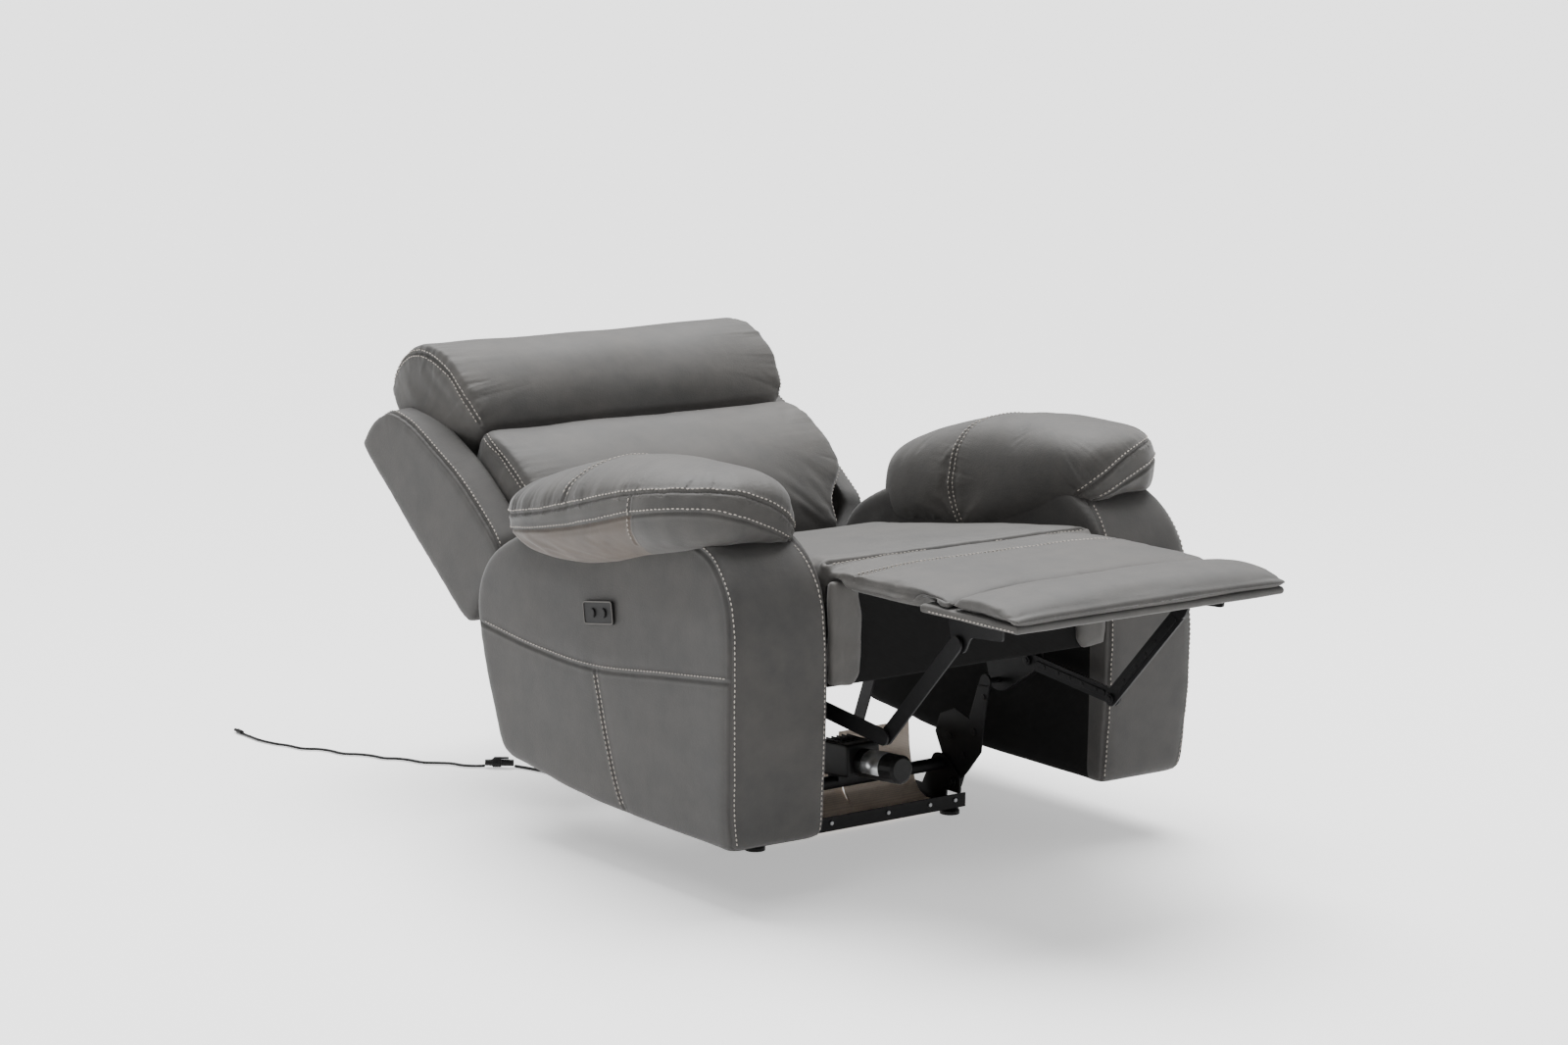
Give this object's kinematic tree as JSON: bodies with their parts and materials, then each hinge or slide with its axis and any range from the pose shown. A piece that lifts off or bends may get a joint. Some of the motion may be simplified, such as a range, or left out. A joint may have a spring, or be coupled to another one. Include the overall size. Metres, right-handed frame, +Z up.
{
  "type": "power recliner armchair",
  "caption": "Upholstered power recliner armchair shown reclined with its footrest out: padded arms, split back cushions, chaise seat, steel linkage on a floor frame and a trailing power lead.",
  "frame": {"origin": "middle of the reclined footprint on the floor, leads left out", "axes": "+Z up; +Y from the footrest towards the back, so the sitter faces -Y; +X to the sitter's left"},
  "size_m": [1.04, 1.9087, 0.7526],
  "materials": {
    "arm_side_upholstery": "warm grey microfibre, soft sheen",
    "pad_upholstery": "warm grey microfibre, soft sheen",
    "black_steel": "satin black powder coat",
    "zinc_steel": "zinc plated",
    "black_cloth": "black cambric",
    "beige_cloth": "beige lining cloth",
    "plywood": "bare plywood",
    "black_plastic": "fine-textured black",
    "lead_jacket": "smooth black jacket"
  },
  "bodies": {
    "base": {"base_front_rail": "black_steel", "base_rear_rail": "black_steel", "base_side_rail_right": "black_steel", "base_side_rail_left": "black_steel", "glide_foot_front_right": "black_plastic", "glide_foot_rear_right": "black_plastic", "glide_foot_front_left": "black_plastic", "glide_foot_rear_left": "black_plastic", "base_cross_tube": "black_steel", "base_lining": "beige_cloth", "motor": "black_plastic", "gearbox": "black_plastic", "lead_screw": "zinc_steel", "motor_lead": "lead_jacket", "lead_socket": "black_plastic", "lead_plug": "black_plastic", "supply_lead": "lead_jacket", "supply_plug": "black_plastic"},
    "drive_nut": {"drive_nut": "black_plastic"},
    "front_swing": {"swing_link_front_right": "black_steel", "swing_link_front_left": "black_steel"},
    "rear_swing": {"swing_link_rear_right": "black_steel", "swing_link_rear_left": "black_steel"},
    "carriage": {"side_plate_right": "black_steel", "side_plate_left": "black_steel", "carriage_front_tube": "black_steel", "carriage_drive_tube": "black_steel", "arm_shell_right": "arm_side_upholstery", "arm_board_right": "plywood", "arm_pad_right": "pad_upholstery", "arm_shell_left": "arm_side_upholstery", "arm_board_left": "plywood", "arm_pad_left": "pad_upholstery", "control_panel": "black_plastic", "seat_cushion": "pad_upholstery", "seat_rail_right": "plywood", "seat_rail_left": "plywood", "seat_springs": "zinc_steel", "seat_front_panel": "black_cloth"},
    "recline_button": {"recline_button": "black_plastic"},
    "upright_button": {"upright_button": "black_plastic"},
    "back": {"lumbar_cushion": "pad_upholstery", "head_cushion": "pad_upholstery", "back_panel": "arm_side_upholstery", "back_top_rail": "plywood", "wing_right": "arm_side_upholstery", "wing_left": "arm_side_upholstery", "back_post_right": "plywood", "back_post_left": "plywood", "back_bracket_right": "black_steel", "back_bracket_left": "black_steel"},
    "footrest": {"chaise_pad": "pad_upholstery", "footrest_lip_pad": "pad_upholstery", "footrest_board": "arm_side_upholstery", "foot_bracket_right": "black_steel", "foot_bracket_left": "black_steel"},
    "rear_links": {"rear_link_right": "black_steel", "rear_link_left": "black_steel"},
    "front_links": {"front_link_right": "black_steel", "front_link_left": "black_steel"}
  },
  "joints": [
    {"name": "glide", "type": "slide", "parent": "base", "child": "carriage", "axis": [0, 1, 0], "range_m": [0, 0.14]},
    {"name": "nut_travel", "type": "slide", "parent": "base", "child": "drive_nut", "axis": [0, 0.9963, -0.0854], "range_m": [0, 0.142]},
    {"name": "front_swing_pivot", "type": "hinge", "parent": "base", "child": "front_swing", "pos_m": [0, -0.0994, 0.055], "axis": [1, 0, 0], "range_deg": [-41.8, 0]},
    {"name": "rear_swing_pivot", "type": "hinge", "parent": "base", "child": "rear_swing", "pos_m": [0, 0.1906, 0.055], "axis": [1, 0, 0], "range_deg": [-41.8, 0]},
    {"name": "recline", "type": "hinge", "parent": "carriage", "child": "back", "pos_m": [0, 0.2916, 0.352], "axis": [1, 0, 0], "range_deg": [0, 39.2]},
    {"name": "footrest_fold", "type": "hinge", "parent": "carriage", "child": "footrest", "pos_m": [0, -0.3844, 0.503], "axis": [1, 0, 0], "range_deg": [0, 90]},
    {"name": "rear_link_pivot", "type": "hinge", "parent": "carriage", "child": "rear_links", "pos_m": [0, -0.2524, 0.29], "axis": [1, 0, 0], "range_deg": [0, 114.5]},
    {"name": "knee_pivot", "type": "hinge", "parent": "rear_links", "child": "front_links", "pos_m": [0, -0.4664, 0.267], "axis": [1, 0, 0], "range_deg": [-108.4, 0]},
    {"name": "recline_press", "type": "slide", "parent": "carriage", "child": "recline_button", "axis": [1, 0, 0], "range_m": [0, 0.0018], "stiffness_N_per_m": 900, "springref_m": -0.0005},
    {"name": "upright_press", "type": "slide", "parent": "carriage", "child": "upright_button", "axis": [1, 0, 0], "range_m": [0, 0.0018], "stiffness_N_per_m": 900, "springref_m": -0.0005}
  ],
  "couplings": [
    {"joint": "nut_travel", "follows": "glide", "ratio": 1.0037},
    {"joint": "front_swing_pivot", "follows": "glide", "rad_per_m": -5.1676},
    {"joint": "rear_swing_pivot", "follows": "glide", "rad_per_m": -5.1676},
    {"joint": "recline", "follows": "glide", "rad_per_m": 4.862},
    {"joint": "rear_link_pivot", "follows": "footrest_fold", "ratio": 1.2689},
    {"joint": "knee_pivot", "follows": "footrest_fold", "ratio": -1.2006}
  ]
}
